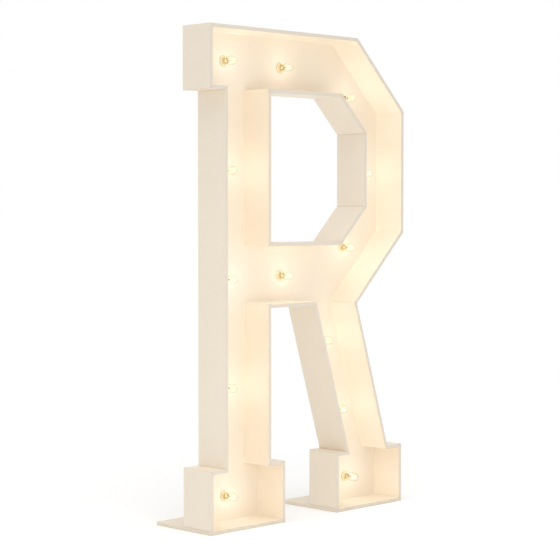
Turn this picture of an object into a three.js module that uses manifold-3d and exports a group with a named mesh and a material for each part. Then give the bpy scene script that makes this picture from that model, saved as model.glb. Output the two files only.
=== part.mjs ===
// Free-standing light-up letter R, built as a sign maker builds it: painted edge boards mitred round a
// letter-shaped back panel, lampholders snapped into the panel, screw-in bulbs, one flat cord through the
// tails of the lampholders, and a control box with switch and inlet on the back of the left foot.
// Millimetres, +Z up, the lit front faces -Y, and the origin lies under the middle of the letter.
import * as THREE from 'three';
import { mergeVertices } from 'three/addons/utils/BufferGeometryUtils.js';
import Module from 'manifold-3d';

const wasm = await Module();
wasm.setup();

// Letter: outline sizes, seen from the front
const letterHeight = 1200;
const letterWidth = 686;
const stroke = 152;
const footHeight = 152;
const footOverhang = 48;
const bowlChamfer = 178;
const bowlHeight = 672;
const crossbarHeight = 158;
const legWidth = 156;
const legRun = 117;
const rightFootInnerOverhang = 37;
const rightFootOuterOverhang = 55;

// Boards
const letterDepth = 96;
const boardThickness = 9;
const panelThickness = 9;
const footPlateReach = 98;
const jointGap = 0.3;

// Clearances and cutting
const fitGap = 0.3;
const cutOverrun = 2;
const weldTolerance = 0.001;

// Lamp places: the lamps of the bars, corners and feet sit a little below the middle of their boards
const lampDrop = 5.5;
const legLampShares = [0.34, 0.68];

// Lampholders
const collarHeight = 6;
const collarRadius = 9;
const flangeRadius = 13.5;
const flangeThickness = 2.5;
const barrelRadius = 10.5;
const holderChamfer = 0.8;
const seatFloor = 4;
const tailWall = 3.2;
const latchReach = 1.5;
const latchLength = 4;
const latchWidth = 6;
const latchRoot = 1.5;

// Bulbs: glass, screw shell and end contact
const glassLength = 38;
const glassRadius = 11.1;
const neckRadius = 6.3;
const shellRadius = 5.85;
const shellLength = 12;
const shellShow = 2;
const insulatorLength = 2.4;
const contactRadius = 2.4;
const contactLength = 1.6;
const shellClearance = 0.4;
const bellyShare = 0.5;
const neckPullShare = 0.45;
const bellyPullShare = 0.55;
const tipPullShare = 0.62;

// Lamp cord
const cordWidth = 5.4;
const cordThickness = 2.7;
const cordSides = 8;
const cordRamp = 34;
const rampSteps = 3;
const handleShare = 0.4;

// Control box
const boxWidth = 62;
const boxHeight = 100;
const boxDepth = 30;
const boxWall = 2.2;
const boxCorner = 5;
const boxLift = 15;
const boxOffset = 46;
const lidThickness = 2.5;
const postRadius = 3.6;
const cordEntryHeight = 36;
const cordTail = 9;

// Rocker switch
const rockerWidth = 10.4;
const rockerHalfLength = 7.8;
const rockerRise = 3;
const rockerDip = 0.9;
const rockerRoot = 2.4;
const rockerRootHalfLength = 5.6;
const rockerKeel = 3.8;
const rockerTiltDegrees = 12;
const pivotRadius = 1;
const pivotReach = 1.2;
const pivotDepth = 1.2;
const switchWall = 2;
const switchBodyDepth = 14;
const bezelThickness = 2;
const bezelLap = 1.5;
const bezelCorner = 1.5;
const switchHeight = 74;

// Mains inlet
const recessWidth = 16;
const recessHeight = 8.4;
const recessDepth = 10;
const pinRadius = 1.2;
const pinSpacing = 8.6;
const pinLength = 8.5;
const inletWall = 2;
const inletBodyDepth = 16;
const flangeLap = 3.4;
const inletFlangeThickness = 2;
const inletFlangeCorner = 3;
const inletHeight = 30;

// Facets of round shapes
const roundSegments = 16;
const holeSegments = 10;
const cornerSegments = 4;
const glassSegments = 4;

// Places worked out from the sizes above, in x from the left edge and z from the floor
const footWidth = stroke + 2 * footOverhang;
const stemLeft = footOverhang;
const stemRight = stemLeft + stroke;
const stemCentre = stemLeft + stroke / 2;
const topBarBottom = letterHeight - stroke;
const topBarCentre = letterHeight - stroke / 2;
const footCentre = footHeight / 2;
const crossbarBottom = letterHeight - bowlHeight;
const bowlLeft = letterWidth - bowlChamfer;
const legLeft = bowlLeft - legWidth;
const rightFootLeft = legLeft + legRun - rightFootInnerOverhang;
const rightFootRight = bowlLeft + legRun + rightFootOuterOverhang;
const counterChamfer = bowlChamfer - stroke * (2 - Math.SQRT2);
const counterRight = letterWidth - stroke;
const counterBottom = crossbarBottom + crossbarHeight;
const panelFront = letterDepth - panelThickness;

const corner = (x, z) => new THREE.Vector2(x, z);

// The outline runs clockwise, and each corner names the board that starts there
const outline = [
  ['board_left_foot_left', corner(0, 0)],
  ['board_left_foot_top_left', corner(0, footHeight)],
  ['board_stem_left', corner(stemLeft, footHeight)],
  ['board_serif_underside', corner(stemLeft, topBarBottom)],
  ['board_serif_end', corner(0, topBarBottom)],
  ['board_top', corner(0, letterHeight)],
  ['board_bowl_upper_corner', corner(bowlLeft, letterHeight)],
  ['board_bowl_side', corner(letterWidth, letterHeight - bowlChamfer)],
  ['board_bowl_lower_corner', corner(letterWidth, crossbarBottom + bowlChamfer)],
  ['board_leg_outer', corner(bowlLeft, crossbarBottom)],
  ['board_right_foot_top_right', corner(bowlLeft + legRun, footHeight)],
  ['board_right_foot_right', corner(rightFootRight, footHeight)],
  ['base_right_foot', corner(rightFootRight, 0)],
  ['board_right_foot_left', corner(rightFootLeft, 0)],
  ['board_right_foot_top_left', corner(rightFootLeft, footHeight)],
  ['board_leg_inner', corner(legLeft + legRun, footHeight)],
  ['board_crossbar_underside', corner(legLeft, crossbarBottom)],
  ['board_stem_right_lower', corner(stemRight, crossbarBottom)],
  ['board_left_foot_top_right', corner(stemRight, footHeight)],
  ['board_left_foot_right', corner(footWidth, footHeight)],
  ['base_left_foot', corner(footWidth, 0)],
];

// The counter runs the other way round, so that the letter again lies on its right
const counter = [
  ['board_counter_left', corner(stemRight, topBarBottom)],
  ['board_counter_bottom', corner(stemRight, counterBottom)],
  ['board_counter_lower_corner', corner(counterRight - counterChamfer, counterBottom)],
  ['board_counter_right', corner(counterRight, counterBottom + counterChamfer)],
  ['board_counter_upper_corner', corner(counterRight, topBarBottom - counterChamfer)],
  ['board_counter_top', corner(counterRight - counterChamfer, topBarBottom)],
];

const isBase = (name) => name.startsWith('base_');
const cyclic = (list, index) => list[(index + list.length) % list.length];
const heading = (from, to) => to.clone().sub(from).normalize();
const intoLetter = (direction) => new THREE.Vector2(direction.y, -direction.x);

// Corner of the line that runs a distance inside the outline
function insetCorner(before, at, after, distance) {
  const first = intoLetter(heading(before, at));
  const second = intoLetter(heading(at, after));
  const reach = distance / (1 + first.dot(second));
  return first.add(second).multiplyScalar(reach).add(at);
}

function insetLoop(loop, distance) {
  return loop.map(([, at], index) =>
    insetCorner(cyclic(loop, index - 1)[1], at, cyclic(loop, index + 1)[1], distance));
}

// Letter as a group: x from the left edge, y from the front, z from the floor
const letter = new THREE.Group();
letter.position.set(-letterWidth / 2, -(letterDepth + footPlateReach) / 2, 0);

const paint = { color: 0xebdcc6, roughness: 0.5, metalness: 0 };
const holderPlastic = { color: 0xf0e2c4, roughness: 0.35, metalness: 0 };
const lampGlass = { color: 0xfff1cf, roughness: 0.08, metalness: 0 };
const cordPlastic = { color: 0xf2efe8, roughness: 0.45, metalness: 0 };
const boxPlastic = { color: 0xefe9dd, roughness: 0.4, metalness: 0 };
const blackPlastic = { color: 0x1c1c1e, roughness: 0.35, metalness: 0 };

function addPiece(parent, name, geometry, finish) {
  const mesh = new THREE.Mesh(geometry, new THREE.MeshStandardMaterial(finish));
  mesh.name = name;
  parent.add(mesh);
  return mesh;
}

// A plate drawn in x and z, whose back lies at the depth y = 0 of its own frame
function plateGeometry(points, thickness, holes = [], curveSegments = cornerSegments) {
  const shape = new THREE.Shape(points);
  shape.holes.push(...holes);
  const plate = new THREE.ExtrudeGeometry(shape, { depth: thickness, bevelEnabled: false, curveSegments });
  return plate.rotateX(Math.PI / 2);
}

// Board between two corners: mitred against its neighbours, or cut square where it stands on a base
function edgeBoard(before, start, end, after) {
  const along = heading(start, end);
  const inward = intoLetter(along).multiplyScalar(boardThickness);
  const ends = [[before, start, end, 1], [start, end, after, -1]].map(([last, at, next, sign]) => {
    const mitred = last && next;
    const inner = mitred ? insetCorner(last, at, next, boardThickness) : at.clone().add(inward);
    const shift = mitred ? (jointGap / 2) * inner.distanceTo(at) / boardThickness : 0;
    return [at, inner].map((point) => point.clone().addScaledVector(along, sign * shift));
  });
  const [[outerStart, innerStart], [outerEnd, innerEnd]] = ends;
  return plateGeometry([outerStart, outerEnd, innerEnd, innerStart], letterDepth);
}

// Base board of a foot, running back as its foot plate
function addBase(name, right, left) {
  const width = right.x - left.x;
  const length = letterDepth + footPlateReach;
  const base = addPiece(letter, name, new THREE.BoxGeometry(width, length, boardThickness), paint);
  base.position.set(left.x + width / 2, length / 2, boardThickness / 2);
}

function addEdgeBoards(loop) {
  loop.forEach(([name, start], index) => {
    const [beforeName, before] = cyclic(loop, index - 1);
    const [afterName, end] = cyclic(loop, index + 1);
    const after = cyclic(loop, index + 2)[1];
    if (isBase(name)) {
      addBase(name, start, end);
      return;
    }
    const standing = corner(0, boardThickness + jointGap);
    const from = isBase(beforeName) ? start.clone().add(standing) : start;
    const to = isBase(afterName) ? end.clone().add(standing) : end;
    const geometry = edgeBoard(!isBase(beforeName) && before, from, to, !isBase(afterName) && after);
    addPiece(letter, name, geometry, paint).position.y = letterDepth;
  });
}

addEdgeBoards(outline);
addEdgeBoards(counter);

// Lamps in the order in which the cord threads them
const between = THREE.MathUtils.lerp;
const footLampHeight = footCentre - lampDrop;
const legCentreAt = (z) =>
  legLeft + legWidth / 2 + legRun * (crossbarBottom - z) / (crossbarBottom - footHeight);
const crossbarLampHeight = crossbarBottom + crossbarHeight / 2 - lampDrop;
const lampBetweenStemAndBowl = (stemCentre + bowlLeft) / 2;
const cornerLampInset = (bowlChamfer / 2 + stroke + counterChamfer / 2) / 2;
const upperCornerLamp = letterHeight - cornerLampInset - lampDrop;
const lowerCornerCentre = (crossbarBottom + bowlChamfer / 2 + counterBottom + counterChamfer / 2) / 2;
const lowerCornerLamp = lowerCornerCentre - lampDrop;
const legLampHeights = legLampShares.map((share) => between(footLampHeight, crossbarLampHeight, share));
const stemNames = ['top_left', 'stem_high', 'stem_middle', 'stem_low', 'left_foot'];
const stemSpans = stemNames.length - 1;
const lamps = [
  ['right_foot', corner((rightFootLeft + rightFootRight) / 2, footLampHeight)],
  ['leg_low', corner(legCentreAt(legLampHeights[0]), legLampHeights[0])],
  ['leg_high', corner(legCentreAt(legLampHeights[1]), legLampHeights[1])],
  ['crossbar', corner(lampBetweenStemAndBowl, crossbarLampHeight)],
  ['bowl_lower_corner', corner(letterWidth - cornerLampInset, lowerCornerLamp)],
  ['bowl_side', corner(letterWidth - stroke / 2, (upperCornerLamp + lowerCornerLamp) / 2)],
  ['bowl_upper_corner', corner(letterWidth - cornerLampInset, upperCornerLamp)],
  ['top_middle', corner(lampBetweenStemAndBowl, topBarCentre - lampDrop)],
  ...stemNames.map((name, step) =>
    [name, corner(stemCentre, between(topBarCentre, footLampHeight, step / stemSpans))]),
];

// Back panel, let in between the boards, with a hole for each lampholder
const panelEdge = boardThickness + jointGap;
const barrelHole = barrelRadius + fitGap;
const roundHole = (centre, radius) =>
  new THREE.Path().absarc(centre.x, centre.y, radius, 0, 2 * Math.PI);
const panelHoles = [
  new THREE.Path(insetLoop(counter, panelEdge)),
  ...lamps.map(([, centre]) => roundHole(centre, barrelHole)),
];
const panelGeometry = plateGeometry(insetLoop(outline, panelEdge), panelThickness, panelHoles, holeSegments);
addPiece(letter, 'back_panel', panelGeometry, paint).position.y = letterDepth;

// Booleans: a closed mesh becomes a solid, and a solid becomes a mesh again
function toSolid(geometry) {
  const bare = geometry.clone();
  bare.deleteAttribute('normal');
  bare.deleteAttribute('uv');
  const merged = mergeVertices(bare, weldTolerance);
  const vertProperties = new Float32Array(merged.attributes.position.array);
  const triVerts = new Uint32Array(merged.index.array);
  return new wasm.Manifold(new wasm.Mesh({ numProp: 3, vertProperties, triVerts }));
}

function toGeometry(solid) {
  const { vertProperties, triVerts } = solid.getMesh();
  const geometry = new THREE.BufferGeometry();
  geometry.setAttribute('position', new THREE.BufferAttribute(vertProperties, 3));
  geometry.setIndex(new THREE.BufferAttribute(triVerts, 1));
  geometry.computeVertexNormals();
  return geometry;
}

const join = (...geometries) => geometries.map(toSolid).reduce((sum, solid) => sum.add(solid));
const cut = (solid, ...geometries) =>
  geometries.map(toSolid).reduce((rest, tool) => rest.subtract(tool), solid);

// Lamp fittings: depths count backwards from the front face of the panel
const shellFront = -(collarHeight + shellShow);
const bulbEnd = shellFront + shellLength + insulatorLength + contactLength;
const seatEnd = bulbEnd + fitGap;
const slotHeight = cordThickness + 2 * fitGap;
const slotFront = Math.max(seatEnd + seatFloor, panelThickness + 2 * fitGap);
const slotCentre = slotFront + slotHeight / 2;
const tailEnd = slotFront + slotHeight + tailWall;

function holderProfile() {
  const seatRadius = shellRadius + shellClearance;
  const flangeFront = -(fitGap + flangeThickness);
  return [
    [0, seatEnd],
    [seatRadius, seatEnd],
    [seatRadius, -collarHeight],
    [collarRadius - holderChamfer, -collarHeight],
    [collarRadius, holderChamfer - collarHeight],
    [collarRadius, flangeFront],
    [flangeRadius - holderChamfer, flangeFront],
    [flangeRadius, flangeFront + holderChamfer],
    [flangeRadius, -fitGap],
    [barrelRadius, -fitGap],
    [barrelRadius, tailEnd - holderChamfer],
    [barrelRadius - holderChamfer, tailEnd],
    [0, tailEnd],
  ].map(([radius, depth]) => new THREE.Vector2(radius, depth));
}

// Snap latch that springs out behind the panel, on the side given by its sign
function latchGeometry(side) {
  const front = panelThickness + fitGap;
  const wedge = new THREE.Shape([
    corner(barrelRadius - latchRoot, front),
    corner(barrelRadius + latchReach, front),
    corner(barrelRadius - latchRoot, front + latchLength),
  ]);
  const latch = new THREE.ExtrudeGeometry(wedge, { depth: latchWidth, bevelEnabled: false });
  latch.translate(0, 0, -latchWidth / 2);
  return side > 0 ? latch : latch.rotateY(Math.PI);
}

// One lampholder with its seat for the bulb, its cord slot and two latches across the slot
function holderGeometry() {
  const body = new THREE.LatheGeometry(holderProfile(), roundSegments);
  const slotLength = 2 * (barrelRadius + cutOverrun);
  const slot = new THREE.BoxGeometry(cordWidth + 2 * fitGap, slotHeight, slotLength);
  slot.translate(0, slotCentre, 0);
  return toGeometry(cut(join(body, latchGeometry(1), latchGeometry(-1)), slot));
}

// Bulb outline from the tip of the glass to the end contact
function bulbProfile() {
  const tip = shellFront - glassLength;
  const belly = shellFront - glassLength * bellyShare;
  const frontLength = belly - tip;
  const backLength = shellFront - belly;
  const glass = new THREE.Path().moveTo(0, tip);
  glass.bezierCurveTo(
    glassRadius * tipPullShare, tip,
    glassRadius, belly - frontLength * bellyPullShare,
    glassRadius, belly);
  glass.bezierCurveTo(
    glassRadius, belly + backLength * bellyPullShare,
    neckRadius, shellFront - backLength * neckPullShare,
    neckRadius, shellFront);
  const shellEnd = shellFront + shellLength;
  const contactStart = shellEnd + insulatorLength;
  return [
    ...glass.getPoints(glassSegments),
    corner(shellRadius, shellFront),
    corner(shellRadius, shellEnd),
    corner(contactRadius, contactStart),
    corner(contactRadius, bulbEnd),
    corner(0, bulbEnd),
  ];
}

// Way of the cord through each lampholder: half way between the spans on either side
const boxLeft = stemCentre + boxOffset;
const boxBottom = boardThickness + boxLift;
const cordEntry = corner(boxLeft, boxBottom + cordEntryHeight);
const stops = [...lamps.map(([, centre]) => centre), cordEntry];
const threadWays = lamps.map(([, centre], index) => {
  const leaving = heading(centre, stops[index + 1]);
  const arriving = index > 0 ? heading(stops[index - 1], centre) : leaving;
  return arriving.clone().add(leaving).normalize();
});

const fittings = new THREE.Group();
fittings.position.y = panelFront;
letter.add(fittings);
const holder = holderGeometry();
const bulb = new THREE.LatheGeometry(bulbProfile(), roundSegments);
lamps.forEach(([name, centre], index) => {
  const way = threadWays[index];
  const socket = addPiece(fittings, `lampholder_${name}`, holder.clone(), holderPlastic);
  socket.position.set(centre.x, 0, centre.y);
  socket.rotation.y = Math.atan2(way.x, way.y);
  addPiece(fittings, `bulb_${name}`, bulb.clone(), lampGlass).position.set(centre.x, 0, centre.y);
});

// Lamp cord: flat on the panel between lamps, raised into the slot of each lampholder
const cordOnPanel = letterDepth + fitGap + cordThickness / 2;
const cordInSlot = panelFront + slotCentre;
const at = (place, depth) => new THREE.Vector3(place.x, depth, place.y);

function ramp(from, fromWay, to, toWay) {
  const reach = from.distanceTo(to) * handleShare;
  const curve = new THREE.CubicBezierCurve3(
    from, from.clone().addScaledVector(at(fromWay, 0), reach),
    to.clone().addScaledVector(at(toWay, 0), -reach), to);
  return curve.getPoints(rampSteps);
}

function cordRoute() {
  const clear = barrelRadius + fitGap;
  const firstEnd = lamps[0][1].clone().addScaledVector(threadWays[0], -clear);
  const route = [at(firstEnd, cordInSlot)];
  lamps.forEach(([, centre], index) => {
    const next = stops[index + 1];
    const span = heading(centre, next);
    const leave = centre.clone().addScaledVector(threadWays[index], clear);
    const down = centre.clone().addScaledVector(span, cordRamp);
    if (index === lamps.length - 1) {
      const entryWay = corner(1, 0);
      route.push(...ramp(at(leave, cordInSlot), threadWays[index], at(next, cordInSlot), entryWay));
      route.push(at(next.clone().addScaledVector(entryWay, boxWall + cordTail), cordInSlot));
      return;
    }
    const up = next.clone().addScaledVector(span, -cordRamp);
    const arrive = next.clone().addScaledVector(threadWays[index + 1], -clear);
    route.push(...ramp(at(leave, cordInSlot), threadWays[index], at(down, cordOnPanel), span));
    route.push(...ramp(at(up, cordOnPanel), span, at(arrive, cordInSlot), threadWays[index + 1]));
  });
  return route;
}

// Flat cord along a route, its width always level with the panel
function cordGeometry(route) {
  const positions = [];
  const faces = [];
  const depthAxis = new THREE.Vector3(0, 1, 0);
  route.forEach((point, index) => {
    const before = route[Math.max(index - 1, 0)];
    const after = route[Math.min(index + 1, route.length - 1)];
    const along = after.clone().sub(before).normalize();
    const across = new THREE.Vector3().crossVectors(depthAxis, along).normalize();
    const off = new THREE.Vector3().crossVectors(along, across);
    for (let side = 0; side < cordSides; side += 1) {
      const angle = 2 * Math.PI * (side + 0.5) / cordSides;
      const vertex = point.clone();
      vertex.addScaledVector(across, Math.cos(angle) * cordWidth / 2);
      vertex.addScaledVector(off, Math.sin(angle) * cordThickness / 2);
      positions.push(...vertex.toArray());
    }
  });
  for (let ring = 0; ring < route.length - 1; ring += 1) {
    for (let side = 0; side < cordSides; side += 1) {
      const a = ring * cordSides + side;
      const b = ring * cordSides + (side + 1) % cordSides;
      faces.push(a, b, a + cordSides, b, b + cordSides, a + cordSides);
    }
  }
  const last = (route.length - 1) * cordSides;
  for (let side = 1; side < cordSides - 1; side += 1) {
    faces.push(0, side + 1, side);
    faces.push(last, last + side, last + side + 1);
  }
  const geometry = new THREE.BufferGeometry();
  geometry.setAttribute('position', new THREE.Float32BufferAttribute(positions, 3));
  geometry.setIndex(faces);
  geometry.computeVertexNormals();
  return geometry;
}

addPiece(letter, 'lamp_cord', cordGeometry(cordRoute()), cordPlastic);

// Rounded rectangle in x and z round a centre
function roundedRectangle(width, height, radius, Outline = THREE.Shape) {
  const right = width / 2 - radius;
  const top = height / 2 - radius;
  const path = new Outline();
  path.absarc(right, top, radius, 0, Math.PI / 2);
  path.absarc(-right, top, radius, Math.PI / 2, Math.PI);
  path.absarc(-right, -top, radius, Math.PI, 1.5 * Math.PI);
  path.absarc(right, -top, radius, 1.5 * Math.PI, 2 * Math.PI);
  path.closePath();
  return path;
}

// A slab drawn in x and z that reaches from one depth back to another
function slab(path, front, back) {
  const plate = plateGeometry(path.getPoints(cornerSegments), back - front);
  return plate.translate(0, back, 0);
}

// A box that reaches from one depth back to another
function block(width, height, front, back) {
  return new THREE.BoxGeometry(width, back - front, height).translate(0, (front + back) / 2, 0);
}

// Control box: its frame has x and z from the middle of the box and y from the back face of the panel
const control = new THREE.Group();
control.position.set(boxLeft + boxWidth / 2, letterDepth, boxBottom + boxHeight / 2);
letter.add(control);
const boxFloor = fitGap + boxWall;
const boxRim = fitGap + boxDepth;
const lidInside = boxRim + fitGap;
const lidOutside = lidInside + lidThickness;

function housingGeometry() {
  const inner = boxCorner - boxWall;
  const outside = slab(roundedRectangle(boxWidth, boxHeight, boxCorner), fitGap, boxRim);
  const hollowShape = roundedRectangle(boxWidth - 2 * boxWall, boxHeight - 2 * boxWall, inner);
  const hollow = slab(hollowShape, boxFloor, boxRim + cutOverrun);
  const slotWidth = cordWidth + 2 * fitGap;
  const slot = new THREE.BoxGeometry(2 * (boxWall + cutOverrun), slotHeight, slotWidth);
  slot.translate(-boxWidth / 2, cordInSlot - letterDepth, cordEntryHeight - boxHeight / 2);
  const postX = boxWidth / 2 - boxWall - postRadius / 2;
  const postZ = boxHeight / 2 - boxWall - postRadius / 2;
  const posts = [[1, 1], [1, -1], [-1, 1], [-1, -1]].map(([sideX, sideZ]) => {
    const length = boxRim - fitGap - boxWall / 2;
    const post = new THREE.CylinderGeometry(postRadius, postRadius, length, roundSegments);
    return toSolid(post.translate(sideX * postX, boxRim - length / 2, sideZ * postZ));
  });
  const shell = cut(toSolid(outside), hollow);
  const trimmedPosts = posts.map((post) => post.intersect(toSolid(outside)));
  const housing = trimmedPosts.reduce((sum, post) => sum.add(post), shell);
  return toGeometry(cut(housing, slot));
}

// Openings of the lid take the bodies of the switch and the inlet
const pocketHalfHeight = Math.hypot(rockerHalfLength, rockerRise) + fitGap;
const switchBodyWidth = rockerWidth + 2 * fitGap + 2 * switchWall;
const switchBodyHeight = 2 * (pocketHalfHeight + switchWall);
const inletBodyWidth = recessWidth + 2 * inletWall;
const inletBodyHeight = recessHeight + 2 * inletWall;
const switchPlace = corner(0, switchHeight - boxHeight / 2);
const inletPlace = corner(0, inletHeight - boxHeight / 2);

function rectangle(place, width, height) {
  const [halfWidth, halfHeight] = [width / 2, height / 2];
  return [[-1, -1], [1, -1], [1, 1], [-1, 1]]
    .map(([x, z]) => corner(place.x + x * halfWidth, place.y + z * halfHeight));
}

const lidOpening = (place, width, height) =>
  new THREE.Path(rectangle(place, width + 2 * fitGap, height + 2 * fitGap));
const lidGeometry = plateGeometry(
  roundedRectangle(boxWidth, boxHeight, boxCorner).getPoints(cornerSegments), lidThickness,
  [
    lidOpening(switchPlace, switchBodyWidth, switchBodyHeight),
    lidOpening(inletPlace, inletBodyWidth, inletBodyHeight),
  ]);
addPiece(control, 'control_box', housingGeometry(), boxPlastic);
addPiece(control, 'control_box_lid', lidGeometry, boxPlastic).position.y = lidOutside;

// Switch: depths count outwards from the seat of its bezel on the lid
const pivotAt = bezelThickness - pivotDepth;
const pocketFloor = pivotAt - Math.hypot(rockerRootHalfLength, rockerKeel) - fitGap;

const pivotPin = (radius, length) =>
  new THREE.CylinderGeometry(radius, radius, length, roundSegments).rotateZ(Math.PI / 2);

function switchBodyGeometry() {
  const bezel = slab(
    roundedRectangle(switchBodyWidth + 2 * bezelLap, switchBodyHeight + 2 * bezelLap, bezelCorner),
    0, bezelThickness);
  const body = block(switchBodyWidth, switchBodyHeight, -switchBodyDepth, bezelThickness / 2);
  const pocket = block(
    rockerWidth + 2 * fitGap, 2 * pocketHalfHeight, pocketFloor, bezelThickness + cutOverrun);
  const hole = pivotPin(pivotRadius + fitGap, rockerWidth + 2 * (pivotReach + 2 * fitGap));
  return toGeometry(cut(join(bezel, body), pocket, hole.translate(0, pivotAt, 0)));
}

// Rocker about its pivot: a shallow dish on the finger side, drawn in depth and height
function rockerGeometry() {
  const side = new THREE.Shape([
    corner(rockerRise, -rockerHalfLength),
    corner(rockerRise - rockerDip, 0),
    corner(rockerRise, rockerHalfLength),
    corner(-rockerRoot, rockerRootHalfLength),
    corner(-rockerKeel, 0),
    corner(-rockerRoot, -rockerRootHalfLength),
  ]);
  const body = new THREE.ExtrudeGeometry(side, { depth: rockerWidth, bevelEnabled: false });
  body.translate(0, 0, -rockerWidth / 2);
  const upright = new THREE.Matrix4().makeBasis(
    new THREE.Vector3(0, 1, 0), new THREE.Vector3(0, 0, 1), new THREE.Vector3(1, 0, 0));
  body.applyMatrix4(upright);
  return toGeometry(join(body, pivotPin(pivotRadius, rockerWidth + 2 * pivotReach)));
}

const switchGroup = new THREE.Group();
switchGroup.position.set(switchPlace.x, lidOutside + fitGap, switchPlace.y);
control.add(switchGroup);
addPiece(switchGroup, 'switch_body', switchBodyGeometry(), blackPlastic);
const rocker = addPiece(switchGroup, 'switch_rocker', rockerGeometry(), blackPlastic);
rocker.position.y = pivotAt;
rocker.rotation.x = THREE.MathUtils.degToRad(-rockerTiltDegrees);

// Inlet: a recess with round ends and two pins, behind a flange on the lid
function inletGeometry() {
  const flange = slab(
    roundedRectangle(inletBodyWidth + 2 * flangeLap, inletBodyHeight + 2 * flangeLap, inletFlangeCorner),
    0, inletFlangeThickness);
  const body = block(inletBodyWidth, inletBodyHeight, -inletBodyDepth, inletFlangeThickness / 2);
  const floor = inletFlangeThickness - recessDepth;
  const recess = slab(
    roundedRectangle(recessWidth, recessHeight, recessHeight / 2),
    floor, inletFlangeThickness + cutOverrun);
  const pins = [-1, 1].map((side) => {
    const length = pinLength + cutOverrun;
    const pin = new THREE.CylinderGeometry(pinRadius, pinRadius, length, roundSegments / 2);
    return toSolid(pin.translate(side * pinSpacing / 2, floor + pinLength - length / 2, 0));
  });
  const shell = cut(join(flange, body), recess);
  return toGeometry(pins.reduce((sum, pin) => sum.add(pin), shell));
}

addPiece(control, 'power_inlet', inletGeometry(), blackPlastic)
  .position.set(inletPlace.x, lidOutside + fitGap, inletPlace.y);

export default letter;
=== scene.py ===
import math

import bmesh
import bpy
from mathutils import Matrix, Vector
from mathutils.geometry import interpolate_bezier


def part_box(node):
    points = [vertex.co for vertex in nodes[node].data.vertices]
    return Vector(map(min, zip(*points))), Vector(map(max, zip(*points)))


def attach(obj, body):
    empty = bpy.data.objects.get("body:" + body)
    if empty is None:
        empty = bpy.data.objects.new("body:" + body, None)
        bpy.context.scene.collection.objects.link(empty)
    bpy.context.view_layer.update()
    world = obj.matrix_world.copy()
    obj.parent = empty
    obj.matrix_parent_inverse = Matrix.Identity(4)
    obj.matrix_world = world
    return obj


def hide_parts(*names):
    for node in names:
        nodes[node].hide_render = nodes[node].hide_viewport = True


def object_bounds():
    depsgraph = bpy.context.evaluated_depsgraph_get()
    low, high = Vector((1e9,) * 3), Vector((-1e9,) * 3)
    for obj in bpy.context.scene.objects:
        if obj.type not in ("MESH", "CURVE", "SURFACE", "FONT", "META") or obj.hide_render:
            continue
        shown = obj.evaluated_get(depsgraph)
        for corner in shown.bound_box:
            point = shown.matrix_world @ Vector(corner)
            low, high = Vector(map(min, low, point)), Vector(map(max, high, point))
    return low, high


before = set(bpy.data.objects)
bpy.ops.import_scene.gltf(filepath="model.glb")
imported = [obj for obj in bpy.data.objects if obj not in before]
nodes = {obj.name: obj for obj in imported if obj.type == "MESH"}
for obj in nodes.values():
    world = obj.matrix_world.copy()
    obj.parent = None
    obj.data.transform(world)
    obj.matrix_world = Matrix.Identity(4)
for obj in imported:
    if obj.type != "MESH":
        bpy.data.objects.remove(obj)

# Light-up letter R: painted fibreboard channel, candelabra bulbs in snap-in holders, flat cord and
# control box behind. Metres, +Z up, the lit front faces -Y.
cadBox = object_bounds()
mm = 0.001
panelFront, panelBack = [corner.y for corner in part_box("back_panel")]
print("frame loaded with", len(nodes), "nodes")


def placed(name, data):
    made = bpy.data.objects.new(name, data)
    bpy.context.scene.collection.objects.link(made)
    return made


# Camera of the photo

photoView = {
    "place": (-3.0093, -2.9926, 0.7692), "pitchDegrees": -2.432, "yawDegrees": -45.0,
    "lens": 108.44, "sensor": 36.0,
}

cameraData = bpy.data.cameras.new("photo_camera")
cameraData.lens = photoView["lens"]
cameraData.sensor_width = photoView["sensor"]
camera = placed("photo_camera", cameraData)
camera.location = photoView["place"]
camera.rotation_euler = (
    math.radians(90 + photoView["pitchDegrees"]), 0, math.radians(photoView["yawDegrees"]))
bpy.context.scene.camera = camera
bpy.context.scene.view_settings.view_transform = "Standard"
print("camera set")


# Materials

def linear(hexColour):
    channels = [int(hexColour[start:start + 2], 16) / 255 for start in (1, 3, 5)]
    return tuple(c / 12.92 if c <= 0.04045 else ((c + 0.055) / 1.055) ** 2.4 for c in channels) + (1,)


def perMetre(millimetres):
    return 1 / (millimetres * mm)


def addNode(tree, kind, settings=None, links=None):
    made = tree.nodes.new(kind)
    for name, value in (settings or {}).items():
        setattr(made, name, value)
    for socket, value in (links or {}).items():
        if isinstance(value, bpy.types.NodeSocket):
            tree.links.new(value, made.inputs[socket])
        else:
            made.inputs[socket].default_value = value
    return made


def startMaterial(name):
    material = bpy.data.materials.new(name)
    material.use_nodes = True
    tree = material.node_tree
    tree.nodes.clear()
    place = addNode(tree, "ShaderNodeTexCoord").outputs["Object"]
    return material, tree, place


def closeMaterial(tree, shader):
    addNode(tree, "ShaderNodeOutputMaterial", links={"Surface": shader.outputs[0]})


def surfaced(tree, look, links, relief, worn=None):
    # One surface with the given links: relief raises it, and worn spreads its roughness over a range
    bump = addNode(tree, "ShaderNodeBump", links={"Height": relief, "Distance": look["reliefMm"] * mm})
    rough = look["roughness"]
    if worn:
        rough = addNode(tree, "ShaderNodeMapRange", links={
            "Value": worn, "To Min": rough[0], "To Max": rough[1]}).outputs[0]
    closeMaterial(tree, addNode(tree, "ShaderNodeBsdfPrincipled", links={
        "Roughness": rough, "Normal": bump.outputs[0], **links}))


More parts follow.
